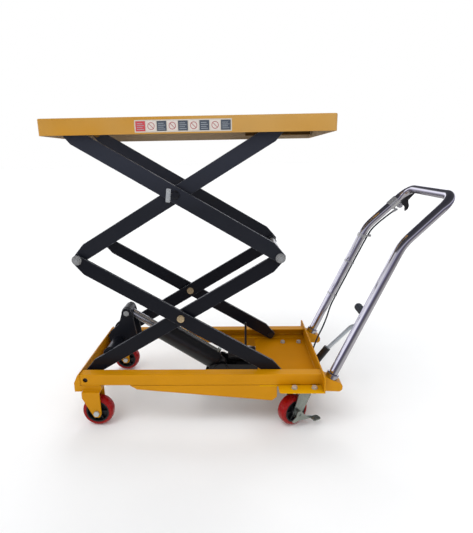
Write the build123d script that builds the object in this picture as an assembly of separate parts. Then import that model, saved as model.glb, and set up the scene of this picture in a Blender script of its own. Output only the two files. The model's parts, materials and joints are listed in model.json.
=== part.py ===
"""Hydraulic double scissor lift table on wheels.

Frame: +X runs from the front (fixed wheels) to the rear (push handle), +Z is up, and
Y = 0 is the centre plane. The origin is at floor level, in the middle of the overall
length and width. "left" is the -Y side and "right" the +Y side. Millimetres.
"""
import math
import os
from build123d import *

# ---------------------------------------------------------------- driving dimensions
table_length = 905.0
table_width = 500.0
table_depth = 50.0
table_sheet = 3.0
table_overhang = 50.0          # table front edge ahead of the front pivots
overall_length = 1325.0        # table front edge to the back of the handle's crossbar

lift_angle = math.radians(31.8)  # hole line of the arms above level, as modelled
arm_reach = 824.0              # end hole to end hole
arm_width = 52.0
arm_thickness = 10.0
arm_hole_offset = 8.5          # end holes off the plate's middle line
arm_end = 13.0                 # plate past the end hole
arm_end_radius = 12.0
inner_arm_y = 155.0            # inner face of the inner arms
outer_arm_y = 171.0            # inner face of the outer arms
pin_radius = 10.0
running_gap = 0.05             # radial, pin in a turning arm
loose_gap = 0.4                # radial, at the pivot that closes the linkage

pivot_z = 181.0                # lower pivots above the floor
table_pivot_drop = 21.6        # table top above the upper pivots

rail_outer_y = 226.0
rail_flange = 40.0
rail_wall = 4.0
rail_bottom = 160.0
rail_top = 202.0
lower_roller_radius = 16.7
upper_roller_radius = 15.3
base_rear = 848.0              # rear end of the rails behind the front pivots

wheel_radius = 57.0
wheel_width = 40.0
hub_radius = 42.0
front_wheel_offset = 36.0
front_wheel_y = 213.0
caster_offset = 785.0
caster_y = 193.0
caster_trail = 41.0
caster_heading = {"left": 29.2, "right": 12.0}   # degrees, swivel as modelled

handle_tube_radius = 16.0
handle_tube_wall = 2.0

rod_radius = 16.0
barrel_radius = 39.0
barrel_wall = 6.0

# ---------------------------------------------------------------- derived layout
sides = {"left": -1, "right": 1}
front_x = -overall_length / 2
pivot_x = front_x + table_overhang
run = arm_reach * math.cos(lift_angle)
rise = arm_reach * math.sin(lift_angle)
base_pivot = (pivot_x, pivot_z)
base_roller = (pivot_x + run, pivot_z)
mid_front = (pivot_x, pivot_z + rise)
mid_rear = (pivot_x + run, pivot_z + rise)
top_pivot = (pivot_x, pivot_z + 2 * rise)
top_roller = (pivot_x + run, pivot_z + 2 * rise)
lower_centre = (pivot_x + run / 2, pivot_z + rise / 2)
upper_centre = (pivot_x + run / 2, pivot_z + 1.5 * rise)
table_top = pivot_z + 2 * rise + table_pivot_drop
table_floor = table_top - table_sheet
inner_arm_outer = inner_arm_y + arm_thickness
outer_arm_outer = outer_arm_y + arm_thickness
base_end = pivot_x + base_rear
crosshead = (pivot_x + 118.0, pivot_z + 187.0)
cylinder_pivot = (pivot_x + 485.0, pivot_z - 51.0)

parts = {}


# ---------------------------------------------------------------- helpers
def outline_xz(points):
    """A closed face in local X-Z coordinates."""
    return make_face(Polyline(*points, close=True))


def between(face, y_low, y_high):
    """Extrude an X-Z face from y_low to y_high."""
    return extrude(Plane.XZ.offset(-y_high) * face, amount=y_high - y_low)


def sided(side, face, near, far):
    """Extrude an X-Z face between two distances from the centre plane, on one side."""
    y_low, y_high = sorted((side * near, side * far))
    return between(face, y_low, y_high)


def rounded(face, corners, radius):
    """Round the corners of a flat face that lie at the given points."""
    chosen = [v for v in face.vertices()
              if any(math.dist((v.X, v.Y), corner) < 0.01 for corner in corners)]
    return fillet(chosen, radius)


def disc(centre, radius, y_low, y_high):
    """A cylinder along Y."""
    return between(Pos(*centre) * Circle(radius), y_low, y_high)


def side_disc(side, centre, radius, near, far):
    return sided(side, Pos(*centre) * Circle(radius), near, far)


def side_hex(side, centre, across_flats, near, far):
    hexagon = RegularPolygon(across_flats / 2, 6, major_radius=False)
    return sided(side, Pos(*centre) * hexagon, near, far)


def dome_head(side, centre, radius, near, far):
    """A bolt head with a rounded outer rim, facing away from the centre plane."""
    head = side_disc(side, centre, radius, near, far)
    rim = head.faces().sort_by(Axis.Y)[-1 if side > 0 else 0].edges()
    return fillet(rim, (far - near) * 0.7)


def block(x_low, x_high, y_low, y_high, z_low, z_high):
    centre = ((x_low + x_high) / 2, (y_low + y_high) / 2, (z_low + z_high) / 2)
    return Pos(*centre) * Box(x_high - x_low, y_high - y_low, z_high - z_low)


def side_block(side, x_low, x_high, near, far, z_low, z_high):
    y_low, y_high = sorted((side * near, side * far))
    return block(x_low, x_high, y_low, y_high, z_low, z_high)


def bar(start, end, radius):
    """A round bar between two points."""
    axis = Vector(*end) - Vector(*start)
    plane = Plane(origin=start, z_dir=axis)
    return extrude(plane * Circle(radius), amount=axis.length)


def bent_tube(points, radii, radius, bore=0.0):
    """A round tube along straight runs joined by tangent arcs."""
    path = FilletPolyline(*points, radius=radii)
    start = Plane(origin=path @ 0, z_dir=path % 0)
    tube = sweep(start * Circle(radius), path=path)
    if bore:
        tube -= sweep(start * Circle(bore), path=path)
    return tube


def group(*solids):
    return Compound(children=list(solids))


def add(name, shape):
    parts[name] = shape


# ---------------------------------------------------------------- base frame
def rail(side):
    """C channel that opens towards the centre, with the front pivot's block welded in."""
    inner = rail_outer_y - rail_flange
    channel = side_block(side, pivot_x - 20, base_end, inner, rail_outer_y, rail_bottom, rail_top)
    corner = channel.edges().filter_by(Axis.X).sort_by(Axis.Y)
    channel = fillet(corner[-2:] if side > 0 else corner[:2], 3.5)
    channel -= side_block(side, pivot_x - 20, base_end, inner, rail_outer_y - rail_wall,
                          rail_bottom + rail_wall, rail_top - rail_wall)
    web = rail_outer_y - rail_wall
    channel -= side_disc(side, base_pivot, 9, web - 1, rail_outer_y + 1)
    for slot_start, slot_end in ((743, 772), (811, 843)):
        channel -= side_block(side, pivot_x + slot_start, pivot_x + slot_end, web - 1,
                              rail_outer_y + 1, rail_bottom - 1, rail_bottom + 4.5)
    pivot_block = side_block(side, pivot_x - 19, pivot_x + 22, inner, web,
                             rail_bottom + rail_wall, rail_top - rail_wall)
    pivot_block -= side_disc(side, base_pivot, pin_radius + running_gap, inner - 1, web + 1)
    return group(channel, pivot_block)


def front_crossplate():
    """Bent front plate with closed ends, across the two rails."""
    x = pivot_x
    outer = outline_xz([(x - 20, 206), (x - 28, 200), (x - 42, 170), (x - 42, 136), (x - 16, 136),
                        (x - 16, 140), (x - 38, 140), (x - 38, 171), (x - 24.5, 197),
                        (x - 20, 201)])
    half = rail_outer_y
    plate = between(outer, -half, half)
    cap = outline_xz([(x - 22, 202), (x - 30, 188), (x - 40, 169), (x - 40, 138), (x - 16, 138),
                      (x - 16, 159.5), (x - 20.2, 159.5), (x - 20.2, 202)])
    for side in sides.values():
        plate += sided(side, cap, half - 4, half)
    return plate


def floor_plate():
    """Rear floor under the rails, with wider wings over the casters."""
    x = pivot_x
    outline = Polyline((x + 628, -226), (x + 695, -226), (x + 695, -274), (base_end, -274),
                       (base_end, 274), (x + 695, 274), (x + 695, 226), (x + 628, 226), close=True)
    plate = make_face(outline)
    wing_corners = plate.vertices().filter_by(lambda v: abs(v.X - x - 695) < 1 and abs(v.Y) > 270)
    plate = fillet(wing_corners, 9)
    plate = extrude(Pos(0, 0, rail_bottom - 5) * plate, amount=5)
    for side in sides.values():
        for bolt_x, bolt_y in caster_bolt_places(side):
            plate -= Pos(bolt_x, bolt_y, rail_bottom) * Cylinder(5.5, 20)
    return plate


def end_plate():
    """Upright plate across the rear ends of the rails."""
    face = make_face(Polyline((-274, rail_bottom - 5), (274, rail_bottom - 5), (274, 213),
                              (-274, 213), close=True))
    face = fillet(face.vertices().filter_by(lambda v: v.Y > 200), 7)
    return extrude(Plane(origin=(base_end, 0, 0), x_dir=(0, 1, 0), z_dir=(1, 0, 0)) * face,
                   amount=5)


def skirt(side):
    """Tapered plate below the rail that hides the hydraulics."""
    x = pivot_x
    face = outline_xz([(x + 161, rail_bottom), (x + 186, 144), (x + 673, 99), (x + 691, 113),
                       (x + 691, rail_bottom - 5.2), (x + 628 - 0.2, rail_bottom - 5.2),
                       (x + 628 - 0.2, rail_bottom)])
    low = face.vertices().sort_by(Axis.Y)[:2]
    face = fillet(low, 9)
    return sided(side, face, rail_outer_y - rail_wall, rail_outer_y)


def fork(side):
    """Welded bracket of a fixed front wheel: spacer, crown and two cheeks."""
    x = pivot_x
    axle = (x + front_wheel_offset, wheel_radius)
    crown = side_block(side, x - 12, x + 52, 183, 243, 136, 141)
    spacer = side_block(side, x - 16, x + 56, 186.5, rail_outer_y, 141, rail_bottom)
    cheek = outline_xz([(x - 12, 136), (x + 52, 136), (x + 53, wheel_radius - 4),
                        (x + 46, wheel_radius - 17), (x + 26, wheel_radius - 17),
                        (x + 19, wheel_radius - 4), (x - 12, 118)])
    cheek = fillet(cheek.vertices().filter_by(lambda v: v.Y < 60), 8)
    bracket = crown + spacer
    for near, far in ((183, 188), (238, 243)):
        plate = sided(side, cheek, near, far)
        plate -= side_disc(side, axle, 6.1, near - 1, far + 1)
        bracket += plate
    return bracket


def axle_bolt(side, centre, near, far, radius=6.0):
    """Hex bolt and nut through a pair of cheeks, head outboard."""
    shank = side_disc(side, centre, radius, near - 10, far)
    head = side_hex(side, centre, 19, far, far + 7)
    nut = side_hex(side, centre, 19, near - 9, near)
    return shank + head + nut


# ---------------------------------------------------------------- wheels
def tyre(centre, y):
    """Cast tread with a crowned running face, bonded round the hub."""
    half = wheel_width / 2
    profile = make_face(Polyline((hub_radius, -half), (wheel_radius - 7, -half),
                                 (wheel_radius - 1.5, -half + 7), (wheel_radius, 0),
                                 (wheel_radius - 1.5, half - 7), (wheel_radius - 7, half),
                                 (hub_radius, half), close=True))
    profile = fillet(profile.vertices().filter_by(lambda v: v.X > hub_radius + 4), 4)
    ring = revolve(profile, axis=Axis.Y, revolution_arc=360)
    return Pos(centre[0], y, centre[1]) * ring


def hub(centre, y, bore=6.05):
    """Moulded hub: rim, dished web with lightening recesses, and a long centre boss."""
    rim_half = wheel_width / 2 - 0.5
    web_half = 6.0
    body = disc((0, 0), hub_radius, -rim_half, rim_half)
    for sign in (-1, 1):
        y_low, y_high = sorted((sign * web_half, sign * (rim_half + 1)))
        body -= disc((0, 0), hub_radius - 5, y_low, y_high)
    body += disc((0, 0), 15, -rim_half - 3, rim_half + 3)
    for turn in range(6):
        body += Rot(0, 60 * turn, 0) * Pos(26, 0, 0) * Box(24, 30, 4)
    body -= disc((0, 0), bore, -rim_half - 5, rim_half + 5)
    return Pos(centre[0], y, centre[1]) * body


# ---------------------------------------------------------------- casters
def caster_bolt_places(side):
    return [(pivot_x + caster_offset + dx, side * (caster_y + dy))
            for dx in (-35, 35) for dy in (-55, 55)]


def caster_plate(side):
    """Top plate and the fixed upper race of the swivel."""
    x = pivot_x + caster_offset
    y = side * caster_y
    plate = Pos(x, y, 152.5) * Box(96, 136, 5)
    plate = fillet(plate.edges().filter_by(Axis.Z), 8)
    for bolt_x, bolt_y in caster_bolt_places(side):
        plate -= Pos(bolt_x, bolt_y, 152.5) * Cylinder(5.5, 8)
    race = Pos(x, y, 145.5) * Cylinder(30, 9)
    race = fillet(race.edges().sort_by(Axis.Z)[0], 3)
    kingpin = Pos(x, y, 135.0) * Cylinder(6, 14)
    return plate + race + kingpin


def caster_frame(side):
    """Local axes at the kingpin: x is away from the trailing wheel."""
    return Pos(pivot_x + caster_offset, side * caster_y, 0) * Rot(0, 0, caster_heading_of(side))


def caster_heading_of(side):
    return caster_heading["left" if side < 0 else "right"]


def caster_fork(side):
    """Pressed swivel fork with its axle bolt."""
    axle = (-caster_trail, wheel_radius)
    crown = Pos(0, 0, 137.2) * Cylinder(31, 6.4)
    crown = fillet(crown.edges().sort_by(Axis.Z)[-1], 2)
    crown += Pos(-8, 0, 132) * Box(50, 64, 4)
    crown -= Pos(0, 0, 135) * Cylinder(6.1, 30)
    leg = outline_xz([(22, 134), (-33, 134), (-caster_trail - 17, wheel_radius + 6),
                      (-caster_trail - 14, wheel_radius - 12), (-caster_trail, wheel_radius - 18),
                      (-caster_trail + 14, wheel_radius - 13), (-12, wheel_radius + 6), (17, 112)])
    leg = fillet(leg.vertices().filter_by(lambda v: v.Y < 120), 7)
    body = crown
    for sign in (-1, 1):
        plate = sided(sign, leg, 27, 31)
        plate -= side_disc(sign, axle, 6.0, 26, 32)
        body += plate
    bolt = disc(axle, 6.0, -43, 43)
    bolt += side_hex(-1, axle, 19, 31, 38)
    bolt += side_hex(1, axle, 19, 31, 38)
    return caster_frame(side) * group(body, bolt)


def caster_brake(side):
    """Foot brake: rocker beside the fork leg, outboard tread and a shoe at the tyre."""
    outboard = side
    pivot = (-caster_trail, wheel_radius)
    rocker = outline_xz([(-72, 34), (-64, 30), (-44, 33), (-20, 30), (20, 26), (34, 26), (34, 31),
                         (18, 33), (-18, 48), (-34, 70), (-48, 70), (-54, 52), (-70, 41)])
    plate = sided(outboard, rocker, 41, 44.5)
    plate += side_disc(outboard, pivot, 13, 38.4, 44.5)
    plate -= side_disc(outboard, pivot, 6.1, 37, 46)
    tread = side_block(outboard, 8, 40, 41, 66, 26, 30)
    tread = fillet(tread.edges().filter_by(Axis.Z), 6)
    return caster_frame(side) * (plate + tread)


def caster_bolts():
    solids = []
    for side in sides.values():
        for bolt_x, bolt_y in caster_bolt_places(side):
            head = Pos(bolt_x, bolt_y, rail_bottom + 3) * extrude(
                RegularPolygon(8, 6, major_radius=False), amount=6)
            head += Pos(bolt_x, bolt_y, rail_bottom + 1.5) * Cylinder(10.5, 3)
            shank = Pos(bolt_x, bolt_y, (rail_bottom + 142) / 2) * Cylinder(5.5, rail_bottom - 142)
            nut = Pos(bolt_x, bolt_y, 143) * extrude(
                RegularPolygon(8, 6, major_radius=False), amount=7)
            solids.append(head + shank + nut)
    return solids


# ---------------------------------------------------------------- scissor arms
def arm(side, centre, slope, near, front_hole, centre_hole, rear_hole):
    """Flat bar with three holes in line, leaning a little off its own hole line.

    slope is +1 for an arm that rises towards the rear and -1 for one that falls.
    """
    reach = math.sqrt((arm_reach / 2) ** 2 - arm_hole_offset ** 2)
    tip = reach + arm_end
    outer = -slope * arm_width / 2
    inner = -outer
    hole_n = slope * arm_hole_offset
    chamfer_n = hole_n - slope * 15
    half_outline = [(reach - 44, outer), (tip, chamfer_n), (tip, inner)]
    outline = half_outline + [(-x, -n) for x, n in half_outline]
    face = make_face(Polyline(*outline, close=True))
    face = rounded(face, [(tip, inner), (-tip, -inner)], arm_end_radius)
    face = rounded(face, [(tip, chamfer_n), (-tip, -chamfer_n)], 7)
    face = rounded(face, [(reach - 44, outer), (44 - reach, -outer)], 8)
    for x, n, radius in ((-reach, -hole_n, front_hole), (0, 0, centre_hole),
                         (reach, hole_n, rear_hole)):
        face -= Pos(x, n) * Circle(radius)
    lean = math.atan(arm_hole_offset / reach)
    angle = math.degrees(slope * (lift_angle - lean))
    plate = sided(side, Pos(*centre) * Rot(0, 0, angle) * face, near, near + arm_thickness)
    long_edges = plate.edges().filter_by(lambda e: e.length > reach)
    return chamfer(long_edges, 0.8)


def hex_end(side, centre, near, far):
    """Washer and nut on the end of a shaft."""
    washer = side_disc(side, centre, 17, near, near + 2.5)
    nut = side_hex(side, centre, 24, near + 2.5, far - 3)
    stub = side_disc(side, centre, pin_radius - 1.5, far - 3, far)
    return washer + nut + stub


def spacer(side, centre):
    """Collar that keeps the inner and outer arms apart."""
    return side_disc(side, centre, 15, inner_arm_outer + 0.3, outer_arm_y - 0.3)


def centre_pin(side, centre):
    pin = side_disc(side, centre, pin_radius, inner_arm_y - 1, outer_arm_outer + 1)
    pin += spacer(side, centre)
    pin += side_disc(side, centre, 14, inner_arm_y - 8, inner_arm_y - 0.3)
    return pin + dome_head(side, centre, 14, outer_arm_outer + 0.3, outer_arm_outer + 8)


def cross_shaft(centre):
    """Full-width shaft at an elbow, with a nut at each end."""
    shaft = disc(centre, pin_radius, -outer_arm_outer - 1, outer_arm_outer + 1)
    for side in sides.values():
        shaft += spacer(side, centre)
        shaft += hex_end(side, centre, outer_arm_outer + 0.3, outer_arm_outer + 14)
    return shaft


def base_pin(side):
    """Front lower pivot: from the inner arm into the rail's block."""
    pin = side_disc(side, base_pivot, pin_radius, inner_arm_y - 1, 220)
    pin += side_disc(side, base_pivot, 14, inner_arm_y - 5, inner_arm_y)
    return pin + side_disc(side, base_pivot, 14, inner_arm_outer, 185.6)


def lower_roller_axle(side):
    axle = side_disc(side, base_roller, pin_radius, 168, 183)
    axle += side_disc(side, base_roller, 13, 167, outer_arm_y)
    axle += side_disc(side, base_roller, 12, outer_arm_outer, 187)
    axle += side_disc(side, base_roller, 8, 183, 219)
    return axle + side_disc(side, base_roller, 11, 216.4, 219)


def upper_roller_shaft():
    shaft = disc(top_roller, pin_radius, -167, 167)
    for side in sides.values():
        shaft += side_disc(side, top_roller, 13, inner_arm_outer, 168.5)
        shaft += side_disc(side, top_roller, 8, 167, 187)
        shaft += side_disc(side, top_roller, 11, 185.3, 187)
    return shaft


def roller(side, centre, radius, near, far):
    wheel = side_disc(side, centre, radius, near, far)
    wheel = chamfer(wheel.edges().filter_by(GeomType.CIRCLE), 1)
    return wheel - side_disc(side, centre, 8.05, near - 1, far + 1)


def lift_crank():
    """Torsion tube between the inner lower arms, with two plates up to the crosshead."""
    x, z = base_pivot
    tube_centre = (x + 80, z + 69)
    tube = disc(tube_centre, 25, -inner_arm_y, inner_arm_y)
    kx, kz = crosshead
    plate = outline_xz([(x + 40, z + 92), (x + 52, z + 114), (x + 84, z + 140), (kx - 20, kz - 4),
                        (kx - 14, kz + 16), (kx, kz + 21), (kx + 14, kz + 16), (kx + 21, kz),
                        (x + 150, z + 112), (x + 156, z + 70), (x + 128, z + 44),
                        (x + 80, z + 48), (x + 48, z + 66)])
    corners = [(kx - 20, kz - 4), (kx - 14, kz + 16), (kx, kz + 21), (kx + 14, kz + 16)]
    plate = rounded(plate, corners, 8)
    plate = rounded(plate, [(x + 84, z + 140), (x + 52, z + 114)], 14)
    plate = rounded(plate, [(x + 150, z + 112), (x + 156, z + 70), (kx + 21, kz)], 9)
    plate -= Pos(*crosshead) * Circle(11)
    for side in sides.values():
        tube += sided(side, plate, 31, 41)
        ring = side_disc(side, crosshead, 19, 41, 44)
        tube += ring - side_disc(side, crosshead, 11, 40, 45)
    return tube


def crosshead_pin():
    pin = disc(crosshead, 11, -47, 47)
    return chamfer(pin.edges().filter_by(GeomType.CIRCLE), 1.5)


# ---------------------------------------------------------------- table
def table_pan():
    """Folded sheet: deck with a skirt all round, open underneath."""
    centre = (front_x + table_length / 2, 0, table_top - table_depth / 2)
    pan = Pos(*centre) * Box(table_length, table_width, table_depth)
    pan = fillet(pan.edges().filter_by(Axis.Z), 9)
    pan = fillet(pan.faces().sort_by(Axis.Z)[-1].edges(), 4)
    inside = Pos(centre[0], 0, centre[2] - table_sheet) * Box(
        table_length - 2 * table_sheet, table_width - 2 * table_sheet, table_depth)
    inside = fillet(inside.edges().filter_by(Axis.Z), 6)
    return pan - inside


def table_channel(side):
    """Roller track under the deck, open towards the centre."""
    x = pivot_x
    channel = side_block(side, x + 590, x + 848, 168, 191, top_roller[1] - 18.6, table_floor)
    clear = upper_roller_radius + 0.3
    channel -= side_block(side, x + 580, x + 858, 160, 188, top_roller[1] - clear,
                          top_roller[1] + clear)
    return channel


def table_lug(side):
    """Lug and pin that hold the outer upper arm under the front of the deck."""
    x, z = top_pivot
    face = outline_xz([(x - 26, table_floor), (x + 26, table_floor), (x + 16, z - 17),
                       (x - 16, z - 17)])
    face = rounded(face, [(x + 16, z - 17), (x - 16, z - 17)], 9)
    lug = sided(side, face, 184, 192)
    pin = side_disc(side, top_pivot, pin_radius, outer_arm_y - 1, 193)
    pin += side_disc(side, top_pivot, 14, outer_arm_y - 5, outer_arm_y - 0.3)
    pin += side_disc(side, top_pivot, 14, outer_arm_outer + 0.3, 184)
    pin += side_hex(side, top_pivot, 24, 192, 201)
    return lug + pin


# ---------------------------------------------------------------- hydraulics
def along_cylinder(distance, above=0.0):
    """A point on the cylinder's axis, measured from the crosshead towards its foot."""
    dx = cylinder_pivot[0] - crosshead[0]
    dz = cylinder_pivot[1] - crosshead[1]
    length = math.hypot(dx, dz)
    ux, uz = dx / length, dz / length
    return (crosshead[0] + ux * distance - uz * above, 0,
            crosshead[1] + uz * distance + ux * above)


cylinder_length = math.dist(crosshead, cylinder_pivot)
gland_start = 150.0
barrel_start = 162.0
barrel_end = cylinder_length - 26.0
piston_depth = 66.0


def cylinder_barrel():
    barrel = bar(along_cylinder(barrel_start), along_cylinder(barrel_end), barrel_radius)
    barrel = fillet(barrel.edges().filter_by(GeomType.CIRCLE), 2.5)
    return barrel - bar(along_cylinder(barrel_start - 1), along_cylinder(barrel_end - 14),
                        barrel_radius - barrel_wall)


def cylinder_gland():
    """Screwed gland that guides the rod, with its wiper ring."""
    gland = bar(along_cylinder(gland_start), along_cylinder(barrel_start), barrel_radius - 3)
    gland += bar(along_cylinder(gland_start - 6), along_cylinder(gland_start), 24)
    gland += bar(along_cylinder(barrel_start), along_cylinder(barrel_start + 26),
                 barrel_radius - barrel_wall)
    return gland - bar(along_cylinder(gland_start - 8), along_cylinder(barrel_start + 30),
                       rod_radius + running_gap)


def cylinder_foot():
    """Foot eye on its pin."""
    foot = bar(along_cylinder(barrel_end), along_cylinder(barrel_end + 10), 30)
    foot += disc(cylinder_pivot, 22, -20, 20)
    neck = bar(along_cylinder(barrel_end), along_cylinder(cylinder_length), 17)
    foot += neck
    foot += disc(cylinder_pivot, 9, -58, 58)
    for side in sides.values():
        foot += side_disc(side, cylinder_pivot, 27, 54, 58)
    return foot


def piston_rod():
    """Rod with its eye at the crosshead and the piston inside the barrel."""
    rod = bar(along_cylinder(14), along_cylinder(barrel_start + piston_depth), rod_radius)
    eye = disc(crosshead, 21, -28, 28)
    piston = bar(along_cylinder(barrel_start + piston_depth),
                 along_cylinder(barrel_start + piston_depth + 24), barrel_radius - barrel_wall - 0.1)
    return rod + eye + piston - disc(crosshead, 11 + running_gap, -30, 30)


def return_pipe():
    """Thin pipe along the top of the barrel, with an elbow fitting at each end."""
    radius = 4.0
    lift = barrel_radius + 6.0
    start = along_cylinder(barrel_start + 14, lift)
    end = along_cylinder(barrel_end - 16, lift)
    pipe = bar(start, end, radius)
    for distance in (barrel_start + 14, barrel_end - 16):
        foot = along_cylinder(distance, barrel_radius - 3)
        pipe += bar(foot, along_cylinder(distance, lift + 9), 8)
    return pipe - bar(along_cylinder(barrel_start), along_cylinder(barrel_end), barrel_radius)


def cradle():
    """Trough below the floor plate that carries the cylinder's foot and the pump."""
    x = pivot_x
    cheek = outline_xz([(x + 415, 80), (x + 426, 122), (x + 452, 152), (x + 628, 152),
                        (x + 720, 154.9), (x + 720, 80)])
    cheek = rounded(cheek, [(x + 426, 122), (x + 452, 152)], 10)
    cheek -= Pos(*cylinder_pivot) * Circle(20)
    trough = block(x + 415, x + 720, -52, 52, 76, 80)
    for side in sides.values():
        trough += sided(side, cheek, 48, 52)
    return trough


pump_z = 100.0
pedal_pivot = (pivot_x + 848.0, 126.0)
pedal_arm = pedal_pivot[1] - pump_z


def pump_body():
    x = pivot_x
    body = block(x + 545, x + 640, -40, 40, 80, 148)
    body = fillet(body.edges().filter_by(Axis.Z), 6)
    nose = bar((x + 640, 0, pump_z), (x + 668, 0, pump_z), 16)
    body += nose
    return body - bar((x + 600, 0, pump_z), (x + 670, 0, pump_z), 8.05)


def pump_reservoir():
    x = pivot_x
    tank = bar((x + 512, 0, 176), (x + 624, 0, 176), 28)
    return fillet(tank.edges().filter_by(GeomType.CIRCLE), 5)


def pump_fittings():
    """Breather pipe on the reservoir, delivery fitting and release valve."""
    x = pivot_x
    breather = bar((x + 584, 0, 200), (x + 584, 0, 310), 4.5)
    breather = fillet(breather.edges().filter_by(GeomType.CIRCLE).sort_by(Axis.Z)[-1], 2)
    breather -= bar((x + 560, 0, 176), (x + 610, 0, 176), 28)
    delivery = bar((x + 532, 18, 122), (x + 545, 18, 122), 10)
    valve = bar((x + 640, 26, 118), (x + 662, 26, 118), 9)
    return [breather, delivery, valve]


def pump_pushrod():
    """Plunger and its long push rod, driven by the pedal's short arm."""
    x = pivot_x
    end = pedal_pivot[0] - 8.4
    rod = bar((x + 616, 0, pump_z), (x + 690, 0, pump_z), 8)
    rod += bar((x + 690, 0, pump_z), (end - 8, 0, pump_z), 6)
    return rod + bar((end - 8, 0, pump_z), (end, 0, pump_z), 9)


# ---------------------------------------------------------------- pedal
def pedal_bracket():
    """Two ears below the rear of the floor plate, with the pedal's pin."""
    px, pz = pedal_pivot
    ear = outline_xz([(px - 34, rail_bottom - 5), (px + 4.8, rail_bottom - 5), (px + 17, pz + 6),
                      (px + 14, pz - 14), (px - 12, pz - 14)])
    ear = rounded(ear, [(px + 14, pz - 14), (px - 12, pz - 14), (px + 17, pz + 6)], 8)
    ears = [sided(side, ear, 22, 27) for side in sides.values()]
    pin = disc(pedal_pivot, 8, -32, 32)
    return group(*ears, pin)


pedal_foot = (pivot_x + 875.0, 0, 144.0)
pedal_joint = (pivot_x + 915.0, 0, 200.0)


def pedal_socket():
    """Lever boss, short arm with its roller, and the sleeve that takes the pedal rod."""
    px, pz = pedal_pivot
    boss = disc(pedal_pivot, 17, -20, 20)
    boss += bar((px, 0, pz), pedal_foot, 13)
    boss += bar(pedal_foot, pedal_joint, 14)
    web = outline_xz([(px - 9, pz), (px + 9, pz), (px + 5, pump_z - 4), (px - 5, pump_z - 4)])
    boss += between(web, -8, 8)
    boss += disc((px, pump_z), 8, -11, 11)
    return boss - disc(pedal_pivot, 8 + running_gap, -25, 25) - pedal_rod()


def pedal_rod():
    """Cranked rod from inside the sleeve up into the foot rest."""
    x = pivot_x
    points = [(x + 904, 0, 184), (x + 1008, 0, 293), (x + 1046, 0, 290), (x + 1049, 0, 344)]
    return bent_tube(points, [26, 18], 8)


def pedal_pad():
    """Foot rest, longer on the far side of the rod."""
    pad = disc((pivot_x + 1049, 348), 16, -30, 72)
    return fillet(pad.edges().filter_by(GeomType.CIRCLE), 6) - pedal_rod()


# ---------------------------------------------------------------- handle
handle_foot = (pivot_x + 896.0, 207.0, 204.0)
handle_bend = (pivot_x + 1098.0, 198.0, 661.0)
handle_corner = (pivot_x + 1259.0, 187.0, 817.0)
handle_lean = math.atan2(handle_bend[2] - handle_foot[2], handle_bend[0] - handle_foot[0])


def down_leg(distance, side):
    """A point on the leg's axis, below the foot."""
    direction = (Vector(*handle_foot) - Vector(*handle_bend)).normalized()
    point = Vector(*handle_foot) + direction * distance
    return (point.X, side * point.Y, point.Z)


def handle_tube():
    points = [down_leg(22, -1)]
    points += [(x, -y, z) for x, y, z in (handle_bend, handle_corner)]
    points += [handle_corner, handle_bend, down_leg(22, 1)]
    return bent_tube(points, [160, 58, 58, 160], handle_tube_radius,
                     handle_tube_radius - handle_tube_wall)


def handle_collar(side):
    """Ring at the foot of each leg."""
    ring = bar(down_leg(24, side), down_leg(6, side), 22)
    ring = fillet(ring.edges().filter_by(GeomType.CIRCLE).sort_by(Axis.Z)[-1], 4)
    return ring - bar(down_leg(22, side), down_leg(0, side), handle_tube_radius)


def handle_bracket(side):
    """Folded bracket on the end plate, with its top square to the leg."""
    base = down_leg(24.6, side)
    x_wall = base_end + 5
    slope = 1 / math.tan(handle_lean)
    top_wall = base[2] + (base[0] - x_wall) * slope
    top_tip = base[2] - (pivot_x + 916 - base[0]) * slope
    outer = [(x_wall, top_wall), (pivot_x + 916, top_tip), (pivot_x + 923, top_tip - 10),
             (pivot_x + 922, 144), (pivot_x + 913, 137), (x_wall, 139)]
    face = outline_xz(outer)
    face = rounded(face, outer[1:5], 5)
    body = sided(side, face, 184, 230)
    pocket = outline_xz([(x_wall - 1, top_wall - 4), (pivot_x + 914, top_tip - 4),
                         (pivot_x + 917, 150), (pivot_x + 917, 120), (x_wall - 1, 120)])
    return body - sided(side, pocket, 188, 226)


# ---------------------------------------------------------------- release lever and cable
lever_y = 190.0
lever_thickness = 8.0
lever_pin_radius = 4.0
lever_pivot_place = (152.0, 27.0)       # along the upper leg from its bend, and below its axis
upper_leg = math.dist(handle_bend, handle_corner)


def under_leg(along, gap):
    """A point below the upper part of the right leg, measured from the bend."""
    direction = Vector(*handle_corner) - Vector(*handle_bend)
    point = Vector(*handle_bend) + direction * (along / upper_leg)
    turn = math.atan2(direction.Z, direction.X)
    return (point.X + gap * math.sin(turn), point.Y, point.Z - gap * math.cos(turn))


def under_leg_xz(along, gap):
    x, _, z = under_leg(along, gap)
    return (x, z)


def beside_leg(share, gap):
    """A point behind the lower part of the right leg, a share of the way down it."""
    along = Vector(*handle_foot) - Vector(*handle_bend)
    point = Vector(*handle_bend) + along * share
    return (point.X + gap * math.sin(handle_lean), point.Y, point.Z - gap * math.cos(handle_lean))


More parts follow.
